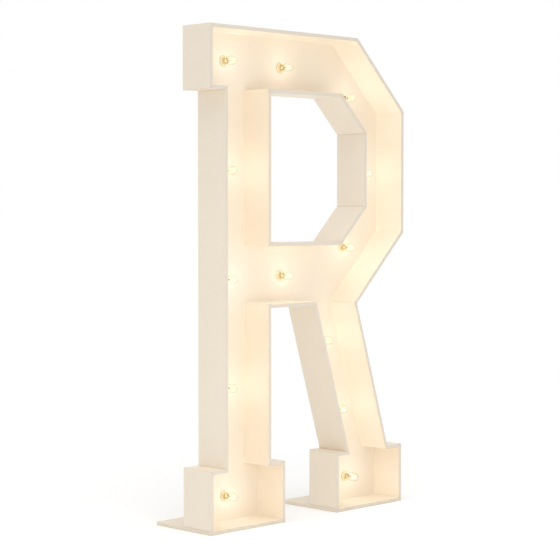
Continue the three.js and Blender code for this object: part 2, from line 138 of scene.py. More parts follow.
boardPaint = {
    "colour": "#F4E8D6",
    "thinColour": "#EEE2CE",     # where the coat is a little thinner over the brown board
    "rimShadeColour": "#E0D6C6",     # painted shade: the front rims greyer and darker than the lamp-lit inside
    "rimShadeBandMm": (0.4, 1.2),    # the painted shade fades out between these depths behind the front
    "peelMm": 2.2,               # real orange peel is nearer 1 mm, too fine to show here
    "peelHeightMm": 0.02, "swellMm": 45, "swellHeightMm": 0.12, "mottleMm": 140,
    "lowDarkColour": "#D9C9B2", "patchMm": 9, "lowDarkHeightMm": 14,
    "roughness": (0.38, 0.5), "ior": 1.47,
}


def sprayedBoard(look):
    # Fibreboard sprayed with satin acrylic: an even cream coat, soft sheen and faint orange peel
    material, tree, place = startMaterial("sprayed_satin_fibreboard")
    mottle = addNode(tree, "ShaderNodeTexNoise", links={
        "Vector": place, "Scale": perMetre(look["mottleMm"]), "Detail": 4.0})
    coat = addNode(tree, "ShaderNodeMix", {"data_type": "RGBA"}, {
        0: mottle.outputs["Fac"], 6: linear(look["thinColour"]), 7: linear(look["colour"])})
    parts = addNode(tree, "ShaderNodeSeparateXYZ", links={0: place})
    # Painted shade: the front faces of the rims and their eased arrises turn greyer and darker
    bandFront, bandBack = [cadBox[0].y + reach * mm for reach in look["rimShadeBandMm"]]
    rimShadeMask = addNode(tree, "ShaderNodeMapRange", links={
        "Value": parts.outputs["Y"], "From Min": bandBack, "From Max": bandFront})
    rimShaded = addNode(tree, "ShaderNodeMix", {"data_type": "RGBA"}, {
        0: rimShadeMask.outputs[0], 6: coat.outputs[2], 7: linear(look["rimShadeColour"])})
    # Darker patches on the lowest 14 mm of the boards, darkest at the floor
    lowDarkNoise = addNode(tree, "ShaderNodeTexNoise", links={
        "Vector": place, "Scale": perMetre(look["patchMm"]), "Detail": 6.0, "Roughness": 0.7})
    lowDown = addNode(tree, "ShaderNodeMapRange", links={
        "Value": parts.outputs["Z"], "From Min": look["lowDarkHeightMm"] * mm, "From Max": 0.0})
    patch = addNode(tree, "ShaderNodeMath", {"operation": "MULTIPLY"}, {
        0: lowDarkNoise.outputs["Fac"], 1: lowDown.outputs[0]})
    colour = addNode(tree, "ShaderNodeMix", {"data_type": "RGBA"}, {
        0: patch.outputs[0], 6: rimShaded.outputs[2], 7: linear(look["lowDarkColour"])})
    peel = addNode(tree, "ShaderNodeTexNoise", links={
        "Vector": place, "Scale": perMetre(look["peelMm"]), "Detail": 2.0})
    swell = addNode(tree, "ShaderNodeTexNoise", links={
        "Vector": place, "Scale": perMetre(look["swellMm"]), "Detail": 1.0})
    broad = addNode(tree, "ShaderNodeBump", links={
        "Height": swell.outputs["Fac"], "Distance": look["swellHeightMm"] * mm})
    fine = addNode(tree, "ShaderNodeBump", links={
        "Height": peel.outputs["Fac"], "Distance": look["peelHeightMm"] * mm,
        "Normal": broad.outputs[0]})
    sheen = addNode(tree, "ShaderNodeMapRange", links={
        "Value": mottle.outputs["Fac"], "To Min": look["roughness"][0], "To Max": look["roughness"][1]})
    closeMaterial(tree, addNode(tree, "ShaderNodeBsdfPrincipled", links={
        "Base Color": colour.outputs[2], "Roughness": sheen.outputs[0], "IOR": look["ior"],
        "Normal": fine.outputs[0]}))
    return material


holderPlastic = {
    "colour": "#EBDEBA", "flow": "#E3D3A8", "flowMm": 12, "roughness": 0.32, "ior": 1.52, "grainMm": 0.5,
    "reliefMm": 0.006,
}


def mouldedUrea(look):
    # Urea resin, compression moulded: dense, ivory and fairly glossy, with a trace of flow
    material, tree, place = startMaterial("moulded_urea_resin")
    flow = addNode(tree, "ShaderNodeTexNoise", links={
        "Vector": place, "Scale": perMetre(look["flowMm"]), "Detail": 3.0, "Distortion": 1.2})
    colour = addNode(tree, "ShaderNodeMix", {"data_type": "RGBA"}, {
        0: flow.outputs["Fac"], 6: linear(look["flow"]), 7: linear(look["colour"])})
    grain = addNode(tree, "ShaderNodeTexNoise", links={"Vector": place, "Scale": perMetre(look["grainMm"])})
    surfaced(tree, look, {"Base Color": colour.outputs[2], "IOR": look["ior"]}, grain.outputs["Fac"])
    return material


lampGlass = {"colour": "#FFFEFA", "roughness": 0.02, "ior": 1.42, "waveMm": 9, "waveHeightMm": 0.03}


def blownGlass(look):
    # Soda-lime glass, blown thin: clear, with a slow ripple; lamp light passes straight through it
    material, tree, place = startMaterial("blown_clear_glass")
    wave = addNode(tree, "ShaderNodeTexNoise", links={
        "Vector": place, "Scale": perMetre(look["waveMm"]), "Detail": 0.0})
    bump = addNode(tree, "ShaderNodeBump", links={
        "Height": wave.outputs["Fac"], "Distance": look["waveHeightMm"] * mm})
    glass = addNode(tree, "ShaderNodeBsdfPrincipled", links={
        "Base Color": linear(look["colour"]), "Roughness": look["roughness"],
        "IOR": look["ior"], "Transmission Weight": 1.0, "Normal": bump.outputs[0]})
    clear = addNode(tree, "ShaderNodeBsdfTransparent", links={"Color": linear(look["colour"])})
    path = addNode(tree, "ShaderNodeLightPath")
    closeMaterial(tree, addNode(tree, "ShaderNodeMixShader", links={
        0: path.outputs["Is Shadow Ray"], 1: glass.outputs[0], 2: clear.outputs[0]}))
    return material


filamentGlow = {"coat": "#E0B255", "glow": "#FFEFD0", "strength": 1.0, "roughness": 0.5, "chipMm": 1.2}


def phosphorSilicone(look):
    # Silicone loaded with yellow phosphor round a strip of chips: it glows a soft warm white
    material, tree, place = startMaterial("phosphor_silicone")
    chips = addNode(tree, "ShaderNodeTexNoise", links={
        "Vector": place, "Scale": perMetre(look["chipMm"]), "Detail": 0.0})
    coat = addNode(tree, "ShaderNodeMix", {"data_type": "RGBA"}, {
        0: chips.outputs["Fac"], 6: linear(look["coat"]), 7: linear(look["glow"])})
    closeMaterial(tree, addNode(tree, "ShaderNodeBsdfPrincipled", links={
        "Base Color": coat.outputs[2], "Roughness": look["roughness"],
        "Emission Color": linear(look["glow"]), "Emission Strength": look["strength"]}))
    return material


brassSheet = {
    "colour": "#F0DDA6", "roughness": (0.34, 0.5), "tarnishMm": 5, "drawMm": (4, 0.25), "reliefMm": 0.01,
}


def rolledBrass(look):
    # Thin brass sheet, drawn and thread-rolled: bright, with fine rings left by the tool
    material, tree, place = startMaterial("rolled_brass_sheet")
    across, along = look["drawMm"]
    stretched = addNode(tree, "ShaderNodeMapping", links={
        "Vector": place, "Scale": (perMetre(across), perMetre(along), perMetre(across))})
    rings = addNode(tree, "ShaderNodeTexNoise", links={"Vector": stretched.outputs[0], "Scale": 1.0})
    tarnish = addNode(tree, "ShaderNodeTexNoise", links={
        "Vector": place, "Scale": perMetre(look["tarnishMm"]), "Detail": 3.0})
    bare = {"Base Color": linear(look["colour"]), "Metallic": 1.0}
    surfaced(tree, look, bare, rings.outputs["Fac"], tarnish.outputs["Fac"])
    return material


platedSteel = {"colour": "#C9CBCD", "roughness": (0.22, 0.36), "grainMm": 0.7, "reliefMm": 0.008}


def nickelPlate(look):
    # Steel wire, pins and screws with a thin nickel plate: grey-white metal with a soft shine
    material, tree, place = startMaterial("nickel_plated_steel")
    grain = addNode(tree, "ShaderNodeTexNoise", links={
        "Vector": place, "Scale": perMetre(look["grainMm"]), "Detail": 3.0})
    bare = {"Base Color": linear(look["colour"]), "Metallic": 1.0}
    surfaced(tree, look, bare, grain.outputs["Fac"], grain.outputs["Fac"])
    return material


sealGlass = {"colour": "#1B1722", "roughness": 0.12, "ior": 1.55, "swirlMm": 2.5, "reliefMm": 0.05}


def blackSealGlass(look):
    # Black insulating glass cast between shell and contact: glossy, with fine swirls
    material, tree, place = startMaterial("black_seal_glass")
    swirl = addNode(tree, "ShaderNodeTexNoise", links={
        "Vector": place, "Scale": perMetre(look["swirlMm"]), "Distortion": 2.0})
    surfaced(
        tree, look, {"Base Color": linear(look["colour"]), "IOR": look["ior"]}, swirl.outputs["Fac"])
    return material


# Pale like real cement, and painted light: brighter and yellower than it is, against the shade inside the
# cap
bulbCement = {"colour": "#FBEDB6", "pit": "#EEDD9E", "roughness": 0.9, "pitMm": 0.8, "reliefMm": 0.05}


def basingCement(look):
    # Resin and marble-flour cement that holds the cap on the glass: chalky, finely pitted
    material, tree, place = startMaterial("basing_cement")
    pits = addNode(tree, "ShaderNodeTexNoise", links={
        "Vector": place, "Scale": perMetre(look["pitMm"]), "Detail": 3.0})
    colour = addNode(tree, "ShaderNodeMix", {"data_type": "RGBA"}, {
        0: pits.outputs["Fac"], 6: linear(look["pit"]), 7: linear(look["colour"])})
    surfaced(tree, look, {"Base Color": colour.outputs[2]}, pits.outputs["Fac"])
    return material


cordVinyl = {
    "colour": "#F2EFE6", "patch": "#E4DFD2", "patchMm": 30, "roughness": (0.36, 0.5), "ior": 1.53,
    "skinMm": 1.4, "reliefMm": 0.02, "glowThrough": 0.1, "glowMm": (1.0, 0.8, 0.6),
}


def extrudedVinyl(look):
    # Soft vinyl, extruded over two cores: ivory white, slightly waxy, with a dragged skin
    material, tree, place = startMaterial("extruded_soft_vinyl")
    patch = addNode(tree, "ShaderNodeTexNoise", links={
        "Vector": place, "Scale": perMetre(look["patchMm"]), "Detail": 5.0})
    colour = addNode(tree, "ShaderNodeMix", {"data_type": "RGBA"}, {
        0: patch.outputs["Fac"], 6: linear(look["patch"]), 7: linear(look["colour"])})
    skin = addNode(tree, "ShaderNodeTexNoise", links={"Vector": place, "Scale": perMetre(look["skinMm"])})
    waxy = {
        "Base Color": colour.outputs[2], "IOR": look["ior"], "Subsurface Weight": look["glowThrough"],
        "Subsurface Radius": [reach * mm for reach in look["glowMm"]]}
    surfaced(tree, look, waxy, skin.outputs["Fac"], patch.outputs["Fac"])
    return material


boxAbs = {
    "colour": "#F0EADF", "flow": "#EAE2D4", "roughness": (0.37, 0.47), "grainMm": 0.6, "reliefMm": 0.02,
}
switchNylon = {
    "colour": "#1D1D1F", "flow": "#232326", "roughness": (0.31, 0.41), "grainMm": 0.5, "reliefMm": 0.015,
}
markInk = {
    "colour": "#F4F3EE", "flow": "#ECEAE2", "roughness": (0.45, 0.55), "grainMm": 0.3, "reliefMm": 0.004,
}
mouldFlow = {"flowMm": 35, "ior": 1.53}


def mouldedPlastic(name, look):
    # Injection moulded, with a spark-eroded grain and a slight flow of tone
    material, tree, place = startMaterial(name)
    flow = addNode(tree, "ShaderNodeTexNoise", links={
        "Vector": place, "Scale": perMetre(mouldFlow["flowMm"]), "Detail": 2.0, "Distortion": 0.8})
    tone = addNode(tree, "ShaderNodeMix", {"data_type": "RGBA"}, {
        0: flow.outputs["Fac"], 6: linear(look["flow"]), 7: linear(look["colour"])})
    grain = addNode(tree, "ShaderNodeTexVoronoi", links={
        "Vector": place, "Scale": perMetre(look["grainMm"])})
    plain = {"Base Color": tone.outputs[2], "IOR": mouldFlow["ior"]}
    surfaced(tree, look, plain, grain.outputs["Distance"], flow.outputs["Fac"])
    return material


boardFinish = sprayedBoard(boardPaint)
holderFinish = mouldedUrea(holderPlastic)
glassFinish = blownGlass(lampGlass)
filamentFinish = phosphorSilicone(filamentGlow)
brassFinish = rolledBrass(brassSheet)
steelFinish = nickelPlate(platedSteel)
sealFinish = blackSealGlass(sealGlass)
cementFinish = basingCement(bulbCement)
vinylFinish = extrudedVinyl(cordVinyl)
boxFinish = mouldedPlastic("moulded_ivory_abs", boxAbs)
nylonFinish = mouldedPlastic("moulded_black_nylon", switchNylon)
markFinish = mouldedPlastic("printed_white_ink", markInk)
print("materials made")


# Shapes

fitGap = 0.3           # mm between pieces that seat on each other
overrun = 1.0          # mm that a cutter runs past what it cuts
weldGap = 0.004        # mm under which two corners become one
creaseDegrees = 32     # sharper turns than this show as an edge


def spun(profile, steps, turns=1, rise=0):
    # Turns a radius and depth profile round the depth axis; with a rise it winds as a thread
    shape = bmesh.new()
    corners = [shape.verts.new((radius * mm, depth * mm, 0)) for radius, depth in profile]
    edges = [shape.edges.new(pair) for pair in zip(corners, corners[1:])]
    bmesh.ops.spin(
        shape, geom=corners + edges, cent=(0, 0, 0), axis=(0, 1, 0),
        dvec=(0, rise * mm / steps, 0), angle=turns * 2 * math.pi, steps=round(steps * turns),
        use_merge=rise == 0, use_duplicate=False)
    return tidied(shape)


def tidied(shape):
    bmesh.ops.remove_doubles(shape, verts=shape.verts, dist=weldGap * mm)
    bmesh.ops.recalc_face_normals(shape, faces=shape.faces)
    return shape


def rounded(shape, edges, width, segments):
    bmesh.ops.bevel(
        shape, geom=edges, offset=width * mm, offset_type="OFFSET", segments=segments, profile=0.5,
        affect="EDGES", clamp_overlap=True, material=-1)


def softened(shape, ease, sharpest=40):
    # Rounds every edge that turns by more than the given degrees; ease is a width and its segments
    turned = math.radians(sharpest)
    rounded(shape, [e for e in shape.edges if e.is_manifold and e.calc_face_angle(0) > turned], *ease)
    return shape


def slab(width, height, depth, corner=0, steps=6, at=(0, 0, 0)):
    # Upright block: width along x, depth along y from at, height along z, its four long edges rounded
    shape = bmesh.new()
    bmesh.ops.create_cube(shape, size=1)
    bmesh.ops.scale(shape, vec=(width * mm, depth * mm, height * mm), verts=shape.verts)
    if corner:
        along = [e for e in shape.edges if abs((e.verts[0].co - e.verts[1].co).y) > depth * mm / 2]
        rounded(shape, along, corner, steps)
    move = Vector(at) + Vector((0, depth / 2, 0))
    bmesh.ops.translate(shape, vec=move * mm, verts=shape.verts)
    return tidied(shape)


def rod(start, end, radius, steps):
    shape = bmesh.new()
    start, end = Vector(start) * mm, Vector(end) * mm
    along = end - start
    turn = along.to_track_quat("Z", "Y").to_matrix().to_4x4()
    bmesh.ops.create_cone(
        shape, cap_ends=True, segments=steps, radius1=radius * mm, radius2=radius * mm,
        depth=along.length, matrix=Matrix.Translation((start + end) / 2) @ turn)
    return shape


def extruded(corners, way):
    # Closed solid between a flat face and its copy moved by way, both in metres
    shape = bmesh.new()
    face = shape.faces.new([shape.verts.new(corner) for corner in corners])
    grown = bmesh.ops.extrude_face_region(shape, geom=[face])["geom"]
    bmesh.ops.translate(shape, vec=way, verts=[v for v in grown if isinstance(v, bmesh.types.BMVert)])
    return tidied(shape)


def merged(*shapes):
    whole = bmesh.new()
    for shape in shapes:
        part = bpy.data.meshes.new("part")
        shape.to_mesh(part)
        whole.from_mesh(part)
        bpy.data.meshes.remove(part)
        shape.free()
    return whole


def carved(shape, tools, operation="DIFFERENCE"):
    # Cuts or joins closed shapes with the exact boolean
    def holding(name, solid):
        mesh = bpy.data.meshes.new(name)
        solid.to_mesh(mesh)
        solid.free()
        return placed(name, mesh)
    base = holding("carve_base", shape)
    helpers = [holding("carve_tool", tool) for tool in tools]
    for helper in helpers:
        step = base.modifiers.new("carve", "BOOLEAN")
        step.operation = operation
        step.solver = "EXACT"
        step.object = helper
    result = bmesh.new()
    result.from_object(base, bpy.context.evaluated_depsgraph_get())
    for used in [base, *helpers]:
        bpy.data.objects.remove(used)
    return tidied(result)


def addPiece(shape, name, finish, body, slot=None, standsFor=(), place=Matrix(), keep=False):
    # Makes the finished object: place goes into the mesh, and the object stays at the origin
    source = shape.copy() if keep else shape
    bmesh.ops.transform(source, matrix=place, verts=source.verts)
    mesh = bpy.data.meshes.new(name)
    source.to_mesh(mesh)
    source.free()
    mesh.shade_smooth()
    mesh.set_sharp_from_angle(angle=math.radians(creaseDegrees))
    mesh.materials.append(finish)
    piece = placed(name, mesh)
    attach(piece, body)
    if standsFor:
        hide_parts(*standsFor)


# Boards: the joiner's arrises are eased with sandpaper before painting

easedEdges = {
    "board": 0.7, "panel": 0.3, "segments": 2, "weld": 0.01, "flatDegrees": 1, "sharpDegrees": 30,
}


def dressBoard(name):
    s, board = easedEdges, nodes[name]
    board.data.materials.clear()
    board.data.materials.append(boardFinish)
    weld = board.modifiers.new("weld", "WELD")
    weld.merge_threshold = s["weld"] * mm
    plain = board.modifiers.new("plain", "DECIMATE")
    plain.decimate_type = "DISSOLVE"
    plain.angle_limit = math.radians(s["flatDegrees"])
    ease = board.modifiers.new("ease", "BEVEL")
    ease.width = s["panel" if name == "back_panel" else "board"] * mm
    ease.segments = s["segments"]
    ease.limit_method = "ANGLE"
    ease.angle_limit = math.radians(s["sharpDegrees"])


for name in nodes:
    if name.startswith(("board_", "base_", "back_panel")):
        dressBoard(name)


# Filler: painted beads close the inner corners of the channel, where a joiner runs sealant

fillerSizes = {"bead": 1.4, "seam": 0.35, "sheet": 0.5, "shortestBoard": 15, "behindRim": 2}


def panelFace():
    # The front face of the back panel, from a merged copy of its mesh
    shape = bmesh.new()
    shape.from_mesh(nodes["back_panel"].data)
    bmesh.ops.remove_doubles(shape, verts=shape.verts, dist=easedEdges["weld"] * mm)
    behind = panelFront + 0.1 * mm
    hidden = [f for f in shape.faces if f.normal.y > -0.9 or f.calc_center_median().y > behind]
    bmesh.ops.delete(shape, geom=hidden, context="FACES")
    return shape


def cornerBead(corner, ways):
    # Three-sided bead along the corner where two boards meet, from the panel almost to the rim
    foot = Vector((corner.x, panelFront, corner.z))
    depth = panelFront - cadBox[0].y - fillerSizes["behindRim"] * mm
    return extruded([foot + way * fillerSizes["bead"] * mm for way in (Vector(), *ways)], (0, -depth, 0))


def fillerShape():
    # A strip inset from the outline of the panel, its outer side pushed out and forward onto the boards
    s = fillerSizes
    shape = panelFace()
    bmesh.ops.inset_region(
        shape, faces=shape.faces[:], use_boundary=True, use_even_offset=True, thickness=s["bead"] * mm)
    longest = {f: max([e.calc_length() for e in f.edges if e.is_boundary], default=0) for f in shape.faces}
    strip = [f for f, length in longest.items() if length > s["shortestBoard"] * mm]
    outline = {v for f in strip for e in f.edges if e.is_boundary for v in e.verts}
    bmesh.ops.delete(shape, geom=[f for f in shape.faces if f not in strip], context="FACES")
    inward = {}
    for outer in outline:
        inner = next(e.other_vert(outer) for e in outer.link_edges if e.other_vert(outer) not in outline)
        inward[outer] = inner.co - outer.co
        outer.co -= inward[outer] * s["seam"] / s["bead"] + Vector((0, s["bead"] * mm, 0))
    beads = []
    for outer in outline:
        around = [e.other_vert(outer) for e in outer.link_edges]
        ways = [(other.co - outer.co).normalized() for other in around if other in outline]
        if inward[outer].dot(ways[0] + ways[1]) > 0:
            beads.append(cornerBead(outer.co, ways))
    bmesh.ops.solidify(shape, geom=shape.faces[:], thickness=s["sheet"] * mm)
    return merged(shape, *beads)


addPiece(fillerShape(), "corner_filler", boardFinish, "letter", "painted_board")
print("boards dressed")


# Lamps: places come from the bulbs of the frame

lampNames = [name[len("bulb_"):] for name in nodes if name.startswith("bulb_")]


def atDepth(point, y=0):
    return Vector((point.x, y, point.z))


def lampCentre(name):
    low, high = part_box("bulb_" + name)
    return atDepth((low + high) / 2, low.y)


# Bulb: depths in mm from the tip of the glass
bulbSizes = {
    "glassLength": 38, "glassRadius": 11.1, "neckRadius": 6.2, "glassWall": 0.35,
    "tipPull": 0.62, "bellyPull": 0.55, "neckPull": 0.45,
    "skirt": [(6.25, 35.9), (6.6, 36.2), (6.6, 39.2), (5.7, 39.9)],
    "thread": {"start": 39.4, "end": 49.0, "pitch": 2.54, "root": 5.25, "crest": 5.8, "sheet": 0.25},
    "seal": [
        (0, 52.6), (2.3, 52.6), (2.7, 52.2), (4.9, 50.6), (5.35, 49.2), (5.0, 48.7), (0, 48.7)],
    "contact": [(0, 52.2), (2.1, 52.2), (2.4, 52.6), (2.3, 53.3), (1.5, 53.85), (0, 54.0)],
    "mount": [
        (0, 25.4), (0.8, 25.6), (1.3, 26.5), (1.4, 29), (1.9, 33), (4.2, 36.2), (5.2, 37.6),
        (4.8, 37.7), (3.7, 36.6), (1.3, 33.3), (0, 32.4)],
    "cement": [(0, 38.1), (5.0, 38.1), (5.0, 39.6), (4.4, 40.2), (0, 40.2)],
    "skirtWall": 0.2, "steps": 40, "threadSteps": 32, "innerSteps": 24, "curveSteps": 12,
}
filamentSizes = {
    "count": 4, "radius": 0.85, "front": (4.4, 6.4), "back": (3.6, 21.4), "steps": 12, "ease": (0.3, 2),
    "easeDegrees": 30, "tab": 1.1, "tabRadius": 0.272, "tabLapShare": 0.2, "wireRadius": 0.17,
    "wireSteps": 8, "bridgeAhead": 1.6,
}


def curvePoints(start, startPull, endPull, end, count):
    points = interpolate_bezier(*[Vector((*p, 0)) for p in (start, startPull, endPull, end)], count)
    return [(p.x, p.y) for p in points]


def glassShape():
    s = bulbSizes
    length, radius, neck = s["glassLength"], s["glassRadius"], s["neckRadius"]
    belly = length / 2
    reach = belly * s["bellyPull"]
    front = curvePoints(
        (0, 0), (radius * s["tipPull"], 0), (radius, belly - reach), (radius, belly), s["curveSteps"])
    back = curvePoints(
        (radius, belly), (radius, belly + reach), (neck, length - belly * s["neckPull"]),
        (neck, length), s["curveSteps"])
    shell = spun(front + back[1:], s["steps"])
    bmesh.ops.solidify(shell, geom=shell.faces[:], thickness=s["glassWall"] * mm)
    return merged(tidied(shell), spun(s["mount"], s["innerSteps"]))


def threadShape(sizes, steps):
    # One pitch of rolled thread, wound along the shell and trimmed square at both ends
    pitch, root, crest = sizes["pitch"], sizes["root"], sizes["crest"]
    start, end = sizes["start"], sizes["end"]
    middle = (root + crest) / 2
    wave = [(root, 0), (middle, 0.2), (crest, 0.38), (crest, 0.62), (middle, 0.8), (root, 1)]
    # It starts a pitch and a half early and has two turns to spare
    turns = math.ceil((end - start) / pitch) + 2
    band = spun([(radius, start + (share - 1.5) * pitch) for radius, share in wave], steps, turns, pitch)
    for depth, side in ((start, -1), (end, 1)):
        bmesh.ops.bisect_plane(
            band, geom=band.verts[:] + band.edges[:] + band.faces[:], plane_co=(0, depth * mm, 0),
            plane_no=(0, side, 0), clear_outer=True, dist=0.001 * mm)
    bmesh.ops.recalc_face_normals(band, faces=band.faces)
    bmesh.ops.solidify(band, geom=band.faces[:], thickness=sizes["sheet"] * mm)
    return band


def filamentPlaces():
    s = filamentSizes
    for index in range(s["count"]):
        angle = 2 * math.pi * (index + 0.5) / s["count"]
        yield [
            Vector((radius * math.cos(angle), depth, radius * math.sin(angle)))
            for radius, depth in (s["front"], s["back"])]


def filamentShape():
    s = filamentSizes
    strips = [rod(front, back, s["radius"], s["steps"]) for front, back in filamentPlaces()]
    return merged(*[softened(strip, s["ease"], s["easeDegrees"]) for strip in strips])


def wireShape():
    # Weld tabs at both ends of each filament, wires to the mount and a bridge at the front
    s, mount = filamentSizes, bulbSizes["mount"]
    inward = mount[1][0] / s["back"][0]
    bridge = Vector((0, s["front"][1] - s["bridgeAhead"], 0))
    runs = []
    for front, back in filamentPlaces():
        along = (back - front).normalized() * s["tab"]
        lap = along * s["tabLapShare"]
        root = Vector((back.x * inward, mount[2][1], back.z * inward))
        runs.append((front - along, front + lap, s["tabRadius"]))
        runs.append((back - lap, back + along, s["tabRadius"]))
        runs.append((front - along, bridge, s["wireRadius"]))
        runs.append((back + along, root, s["wireRadius"]))
    wires = [rod(start, end, radius, s["wireSteps"]) for start, end, radius in runs]
    return merged(*wires, spun(bulbSizes["contact"], bulbSizes["innerSteps"]))


def baseShape():
    s = bulbSizes
    skirt = spun(s["skirt"], s["steps"])
    bmesh.ops.solidify(skirt, geom=skirt.faces[:], thickness=s["skirtWall"] * mm)
    return merged(skirt, threadShape(s["thread"], s["threadSteps"]))


bulbGlass = glassShape()
insides = [
    ("filaments", filamentShape(), filamentFinish), ("wires", wireShape(), steelFinish),
    ("base", baseShape(), brassFinish),
    ("seal", spun(bulbSizes["seal"], bulbSizes["threadSteps"]), sealFinish),
    ("cement", spun(bulbSizes["cement"], bulbSizes["innerSteps"]), cementFinish)]

for name in lampNames:
    body = "bulb_" + name
    shared = {"body": body, "place": Matrix.Translation(lampCentre(name)), "keep": True}
    addPiece(bulbGlass, "bulb_glass_" + name, glassFinish, slot="lamp_glass", standsFor=[body], **shared)
    for word, shape, finish in insides:
        addPiece(shape, f"bulb_{word}_{name}", finish, **shared)
print("bulbs made:", len(lampNames))


# Lampholder: depths in mm from the rim of the collar
holderSizes = {
    "rimAhead": 6.0,             # collar in front of the panel
    "body": [
        (0, 14.3), (6.55, 14.3), (6.55, 0.6), (7.0, 0), (8.4, 0), (9.0, 0.6), (9.0, 2.4), (9.7, 3.2),
        (12.5, 3.2), (13.5, 4.1), (13.5, 5.7), (10.5, 5.7), (10.5, 21.6), (0, 21.6)],
    "cap": [
        (0, 21.75), (10.2, 21.75), (10.5, 22.1), (10.5, 23.7), (9.5, 24.8), (4.4, 24.8), (3.8, 24.3),
        (0, 24.3)],
    "slotStart": 18.3, "slotEnd": 21.6, "slotWidth": 6.0, "slotCorner": 1.2, "slotReach": 30,
    "latch": {"start": 15.3, "length": 4.0, "width": 6.0, "reach": 1.5, "root": 1.5, "lip": 0.6},
    "grip": {"width": 3, "height": 1.1, "depth": 6, "start": 20.5, "out": 10.4, "apart": 3.2},
    "liner": {"start": 0.9, "end": 11.5, "pitch": 2.54, "root": 5.95, "crest": 6.3, "sheet": 0.2},
    "spring": [(0, 13.95), (2.2, 13.95), (2.6, 14.1), (2.6, 14.25), (0, 14.25)],
    "bodyEase": (0.18, 1), "capEase": (0.15, 1), "steps": 48, "threadSteps": 32, "springSteps": 24,
}


def latchShape(side):
    s = holderSizes["latch"]
    radius = holderSizes["body"][-2][0]
    wedge = [
        (radius - s["root"], s["start"]), (radius + s["reach"], s["start"]),
        (radius + s["reach"], s["start"] + s["lip"]), (radius - s["root"], s["start"] + s["length"])]
    corners = [(side * x * mm, y * mm, -s["width"] * mm / 2) for x, y in wedge]
    return extruded(corners, (0, 0, s["width"] * mm))


def holderShape():
    s = holderSizes
    body = carved(spun(s["body"], s["steps"]), [latchShape(1), latchShape(-1)], "UNION")
    depth = s["slotEnd"] + overrun - s["slotStart"]
    slot = slab(s["slotWidth"], s["slotReach"], depth, s["slotCorner"], at=(0, s["slotStart"], 0))
    return softened(carved(body, [slot]), s["bodyEase"])


def capShape():
    s, g = holderSizes, holderSizes["grip"]
    grips = [
        slab(g["width"], g["height"], g["depth"], at=(side * g["out"], g["start"], row * g["apart"]))
        for side in (-1, 1) for row in (-1, 0, 1)]
    return softened(carved(spun(s["cap"], s["steps"]), grips), s["capEase"])


cordOrder = [
    "right_foot", "leg_low", "leg_high", "crossbar", "bowl_lower_corner", "bowl_side",
    "bowl_upper_corner", "top_middle", "top_left", "stem_high", "stem_middle", "stem_low", "left_foot"]
entrySizes = {"height": 36, "tail": 9, "wall": 2.2}      # where the cord enters the control box

boxLow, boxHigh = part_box("control_box")
cordEntry = Vector((boxLow.x, 0, boxLow.z + entrySizes["height"] * mm))
stops = [atDepth(lampCentre(name)) for name in cordOrder] + [cordEntry]
holderRimY = panelFront - holderSizes["rimAhead"] * mm


def threadWay(index):
    # The cord passes each holder half way between the directions of its two spans
    leaving = (stops[index + 1] - stops[index]).normalized()
    arriving = (stops[index] - stops[index - 1]).normalized() if index else leaving
    return (leaving + arriving).normalized()


def alongCord(point, y, way):
    # A frame with its z along the cord
    return Matrix.Translation(atDepth(point, y)) @ Matrix.Rotation(math.atan2(way.x, way.z), 4, "Y")


holderBody = holderShape()
holderCap = capShape()
holderLiner = merged(
    threadShape(holderSizes["liner"], holderSizes["threadSteps"]),
    spun(holderSizes["spring"], holderSizes["springSteps"]))

for index, name in enumerate(cordOrder):
    place = alongCord(stops[index], holderRimY, threadWay(index))
    shared = {"body": "letter", "place": place, "keep": True}
    moulded = {"finish": holderFinish, "slot": "lampholder_plastic", **shared}
    addPiece(holderBody, "holder_body_" + name, standsFor=["lampholder_" + name], **moulded)
    addPiece(holderCap, "holder_cap_" + name, **moulded)
    addPiece(holderLiner, "holder_liner_" + name, brassFinish, **shared)
print("lampholders made")


# Lamp cord: flat twin lead, two cores side by side

cordSizes = {
    "width": 5.4, "thickness": 2.7, "ramp": 34, "clear": 10.8, "handleShare": 0.4, "steps": 10,
    "arcStart": -140, "arcStep": 35, "arcPoints": 9,     # outline of each core, in degrees
}
slotY = holderRimY + (holderSizes["slotStart"] + holderSizes["slotEnd"]) * mm / 2
cordY = panelBack + (fitGap + cordSizes["thickness"] / 2) * mm


def ramp(start, startWay, end, endWay):
    reach = (end - start).length * cordSizes["handleShare"]
    pulls = start + startWay * reach, end - endWay * reach
    return interpolate_bezier(start, *pulls, end, cordSizes["steps"])


def cordRoute():
    clear, rampLength = cordSizes["clear"] * mm, cordSizes["ramp"] * mm
    route = [atDepth(stops[0] - threadWay(0) * clear, slotY)]
    for index in range(len(cordOrder)):
        here, after, way = stops[index], stops[index + 1], threadWay(index)
        leave = atDepth(here + way * clear, slotY)
        span = (after - here).normalized()
        if index == len(cordOrder) - 1:
            entryWay = Vector((1, 0, 0))
            inside = after + entryWay * (entrySizes["wall"] + entrySizes["tail"]) * mm
            route += ramp(leave, way, atDepth(after, slotY), entryWay) + [atDepth(inside, slotY)]
            break
        arriveWay = threadWay(index + 1)
        route += ramp(leave, way, atDepth(here + span * rampLength, cordY), span)
        arrive = atDepth(after - arriveWay * clear, slotY)
        route += ramp(atDepth(after - span * rampLength, cordY), span, arrive, arriveWay)
    return route


def cordSection():
    # Two round cores joined by a narrow web
    s = cordSizes
    radius = s["thickness"] / 2
    apart = s["width"] / 2 - radius
    outline = []
    for side in (1, -1):
        for step in range(s["arcPoints"]):
            angle = math.radians(s["arcStart"] + s["arcStep"] * step)
            outline.append((side * (apart + radius * math.cos(angle)), side * radius * math.sin(angle)))
    return outline


def polyLine(name, points, closed=False):
    curve = bpy.data.curves.new(name, "CURVE")
    curve.dimensions = "2D" if closed else "3D"
    spline = curve.splines.new("POLY")
    spline.points.add(len(points) - 1)
    for point, place in zip(spline.points, points):
        point.co = (*place, 1)
    spline.use_cyclic_u = closed
    return placed(name, curve)


